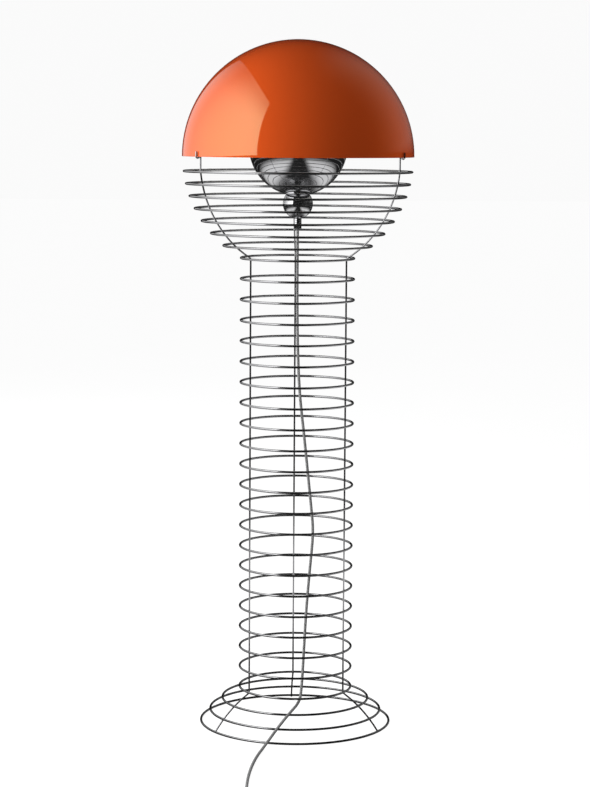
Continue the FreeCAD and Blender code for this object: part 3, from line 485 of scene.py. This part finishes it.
lamp_cord = cord_line("cord_to_switch", [
    (0.0, 0.0, 0.8771),
    (-0.0005, -0.0015, 0.8),
    (-0.0002, -0.004, 0.728),
    (0.0011, -0.0061, 0.655),
    (0.0045, -0.0082, 0.583),
    (0.0126, -0.0095, 0.513),
    (0.0197, -0.0103, 0.445),
    (0.0261, -0.0111, 0.383),
    (0.0304, -0.0122, 0.34),
    (0.0241, -0.018, 0.276),
    (0.0175, -0.0307, 0.204),
    (0.0131, -0.0476, 0.134),
    (0.0101, -0.0625, 0.091),
    (0.0076, -0.0737, 0.0677),
    (0.0052, -0.0833, 0.0583),
    (0.0005, -0.0951, 0.0532),
    (-0.0027, -0.109, 0.053),
    (-0.0071, -0.1238, 0.0526),
    (-0.0134, -0.1366, 0.0493),
    (-0.0225, -0.1466, 0.0413),
    (-0.0363, -0.1575, 0.0268),
    (-0.0494, -0.1692, 0.0118),
    (-0.0573, -0.1818, 0.0046),
    (-0.0631, -0.2006, FLOOR_LINE),
    (-0.0693, -0.2264, FLOOR_LINE),
    (-0.076, -0.2602, FLOOR_LINE),
    (-0.0826, -0.3019, FLOOR_LINE),
    (-0.0885, -0.3517, FLOOR_LINE),
    (-0.0922, -0.4046, FLOOR_LINE),
    (-0.0936, -0.446, FLOOR_LINE),
    (-0.094, -0.466, 0.0046),
    (-0.094, -0.484, SWITCH_LINE),
    (-0.094, -0.498, SWITCH_LINE),
])
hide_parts("cord_run")

# The rest of the cord: from the switch to a wound coil on the floor, and up and over it to the
# plug. The coil has four layers of two turns, wound in and out by turns.
COIL_MIDDLE = (-0.0048, -0.551)
COIL_PITCH = 0.0057
COIL_OUTER = 0.0332
PER_TURN = 16
coil = []
for i in range(1, int(8.25 * PER_TURN)):
    turns = i / PER_TURN
    layer = min(int(turns / 2), 3)
    wound = turns - 2 * layer
    radius = COIL_OUTER - COIL_PITCH * (wound if layer % 2 == 0 else 2 - wound)
    nearest = min((1, 2, 3), key=lambda k: abs(turns - 2 * k))
    climbed = min(max((turns - 2 * nearest) * 2 + 0.5, 0.0), 1.0)
    level = FLOOR_LINE + COIL_PITCH * (nearest - 1 + (1 - math.cos(math.pi * climbed)) / 2)
    angle = math.pi - 2 * math.pi * turns
    reach = radius / math.cos(math.pi / PER_TURN)
    coil.append((
        COIL_MIDDLE[0] + reach * math.cos(angle), COIL_MIDDLE[1] + reach * math.sin(angle), level))
plug_cord = cord_line("cord_to_plug", [
    (-0.094, -0.554, SWITCH_LINE),
    (-0.0942, -0.571, 0.0066),
    (-0.0936, -0.588, 0.0036),
    (-0.086, -0.6008, FLOOR_LINE),
    (-0.0734, -0.6076, FLOOR_LINE),
    (-0.0588, -0.6074, FLOOR_LINE),
    (-0.0462, -0.6, FLOOR_LINE),
    (-0.0388, -0.5872, FLOOR_LINE),
    (-0.038, -0.5715, FLOOR_LINE),
    (-0.038, -0.556, FLOOR_LINE),
    *coil,
    (0.0122, -0.5165, 0.0194),
    (0.0292, -0.517, 0.0155),
    (0.0472, -0.5176, 0.009),
    (0.0612, -0.5178, 0.007),
    (0.0732, -0.5178, 0.007),
])
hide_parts("cord_link", "cord_coil")

# Foot switch: a two-part moulded case on the cord with a round button to press by foot, closed
# by two steel screws from below.
fitting_plastic, shader, place = new_finish("fitting_plastic", Specular_IOR_Level=0.45)
spark = place.noise(900.0, 2.0)
scuff = place.noise(70.0, 4.0).between(0.5, 0.8)
feed(
    shader,
    Base_Color=scuff.blend(grey(0.085), grey(0.12)),
    Roughness=0.36 + spark * 0.12 + scuff * 0.08,
    Normal=spark.bump(0.00006, 0.35),
)
screw_steel, shader, place = new_finish("screw_steel", Metallic=1.0)
worn = place.noise(300.0, 3.0)
feed(
    shader,
    Base_Color=worn.blend(grey(0.36), grey(0.52)),
    Roughness=0.28 + worn * 0.2,
    Normal=worn.bump(0.00003, 0.3),
)
refinish(fitting_plastic, "switch_base", "switch_cover", "switch_button", "plug_body")
refinish(screw_steel, "switch_screws")

# Strain reliefs: two ribbed sleeves of the same plastic round the cord at the switch's ends, which
# keep it from being bent sharply there.
RELIEF_STEPS = 11
RELIEF_GROOVES = (3, 5, 7, 9)


def strain_relief(name, start, end):
    """A tapered sleeve with ribs, from the switch's end to a point along the cord."""
    clear_bench()
    way = Vector(end) - Vector(start)
    bpy.ops.mesh.primitive_cone_add(vertices=32, radius1=0.0045, radius2=0.0033, depth=way.length)
    sleeve = bpy.context.object
    bpy.ops.object.mode_set(mode="EDIT")
    for i in range(1, RELIEF_STEPS):
        bpy.ops.mesh.select_all(action="SELECT")
        bpy.ops.mesh.bisect(plane_co=(0, 0, way.length * (i / RELIEF_STEPS - 0.5)), plane_no=(0, 0, 1))
    choose(sleeve, lambda co: round((co.z / way.length + 0.5) * RELIEF_STEPS) in RELIEF_GROOVES)
    bpy.ops.transform.resize(value=(0.84, 0.84, 1.0))
    bpy.ops.object.mode_set(mode="OBJECT")
    sleeve.location = (Vector(start) + Vector(end)) / 2
    sleeve.rotation_euler = way.to_track_quat("Z", "Y").to_euler()
    put_down(sleeve, name, fitting_plastic, 40)
    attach(sleeve, "cage")
    return sleeve


reliefs = [
    strain_relief("strain_relief_near", (-0.094, -0.490, 0.007), (-0.094, -0.470, 0.0054)),
    strain_relief("strain_relief_far", (-0.094, -0.562, 0.007), (-0.0939, -0.582, 0.0049)),
]

# Plug: a flat moulded plug with two round nickel-plated pins.
refinish(nickel, "plug_pins")

on_cord = [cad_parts[n] for n in ("switch_base", "switch_cover", "switch_button", "switch_screws")]
on_cord += reliefs


# Studio: a plain white floor that glows white where the camera sees it. Where the chrome mirrors it, it
# is painted dark, but for a painted pool of light at each side that gives the wires their light edges.
clear_bench()
bpy.ops.mesh.primitive_plane_add(size=1.0)
floor = bpy.context.object
choose(floor, lambda co: True)
bpy.ops.transform.resize(value=(60, 60, 1))
bpy.ops.mesh.subdivide(number_cuts=3)
bpy.ops.object.mode_set(mode="OBJECT")
floor_white, shader, place = new_finish("floor_white", Specular_IOR_Level=0.0)
mottle = place.noise(1.5, 2.0)
seen = place.node("LightPath")
sideways = place.node("SeparateXYZ", {}, {0: place})
aside = place.node("Math", {"operation": "ABSOLUTE"}, {0: sideways})
away = place.node("VectorMath", {"operation": "LENGTH"}, {0: place}, output=1)
# Painted pool of light: a glowing patch at each side of the lamp, seen only in the chrome's reflections.
painted_light_pool = aside.between(0.30, 0.75) * (1.0 - away.between(1.2, 2.4))
# Reflected rays see painted shade, a dark base and nearly no glow, but for the painted pool of light.
feed(
    shader,
    Base_Color=seen.blend(grey(0.012), mottle.blend(grey(0.24), grey(0.26))),
    Roughness=0.75 + mottle * 0.1,
    Emission_Color=seen.blend(painted_light_pool.blend(grey(0.012), grey(0.75)), grey(0.92)),
)
shader.inputs["Emission Strength"].default_value = 1.0
put_down(floor, "floor", floor_white)

# The room is white where the camera looks at it. Where the chrome and the enamel mirror it, it
# is dark, and a little lighter at the right.
world = bpy.data.worlds.new("studio")
world.use_nodes = True
scene.world = world
room = Link(world.node_tree, world.node_tree.nodes["Background"].outputs[0])
seen = room.node("LightPath")
mirrored = room.node("LightPath", output=3)
way = room.node("TexCoord")
rightwards = room.node("SeparateXYZ", {}, {0: way}).between(0.1, 0.5)
backwards = room.node("SeparateXYZ", {}, {0: way}, output=1).between(-0.2, 0.7)
above = room.node("SeparateXYZ", {}, {0: way}, output=2).between(-0.02, 0.10)
dark_side = (rightwards * backwards * above).blend(grey(0.01), grey(0.14))
unseen = mirrored.blend(grey(0.20), dark_side)
feed_room = seen.blend(unseen, grey(0.96))
world.node_tree.links.new(feed_room.socket, world.node_tree.nodes["Background"].inputs["Color"])


def softbox(name, spot, aim, width, height, brightness):
    """A square-edged lamp; brightness is what its surface shines, where white paper is 1."""
    data = bpy.data.lights.new(name, "AREA")
    data.shape = "RECTANGLE"
    data.size = width
    data.size_y = height
    data.energy = brightness * math.pi * width * height
    lamp = bpy.data.objects.new(name, data)
    scene.collection.objects.link(lamp)
    lamp.location = spot
    lamp.rotation_euler = (Vector(aim) - Vector(spot)).to_track_quat("-Z", "Y").to_euler()
    return lamp


# The softbox at the left fades towards its back end. It is made twice, once for the light that it
# gives and once for its mirror image, which ends above the column. The one at the right is weak
# and stands further back.
for name, spot, tall, brightness in (
        ("softbox_left", (-1.5, 1.3, 1.3), 2.6, 3.9), ("softbox_left_mirrored", (-1.48, 1.3, 2.2), 2.8, 1.9)):
    light = softbox(name, spot, (0.0, 1.3, spot[2]), 6.0, tall, brightness)
    light.data.use_nodes = True
    shine = Link(light.data.node_tree, light.data.node_tree.nodes["Emission"].outputs[0])
    backwards = shine.node("SeparateXYZ", {}, {0: shine.node("NewGeometry")}, output=1)
    upwards = shine.node("SeparateXYZ", {}, {0: shine.node("NewGeometry")}, output=2)
    fading = (1.0 - 0.72 * backwards.between(-1.1, 1.3)) * (1.0 - 0.6 * upwards.between(2.0, 3.6))
    light.data.node_tree.links.new(fading.socket, light.data.node_tree.nodes["Emission"].inputs["Strength"])
    light.visible_glossy = name.endswith("mirrored")
    light.visible_diffuse = not light.visible_glossy
softbox("softbox_right", (1.5, 0.45, 1.3), (0.0, 0.0, 1.2), 1.5, 1.5, 2.0).visible_glossy = False
scene.view_settings.view_transform = "Standard"
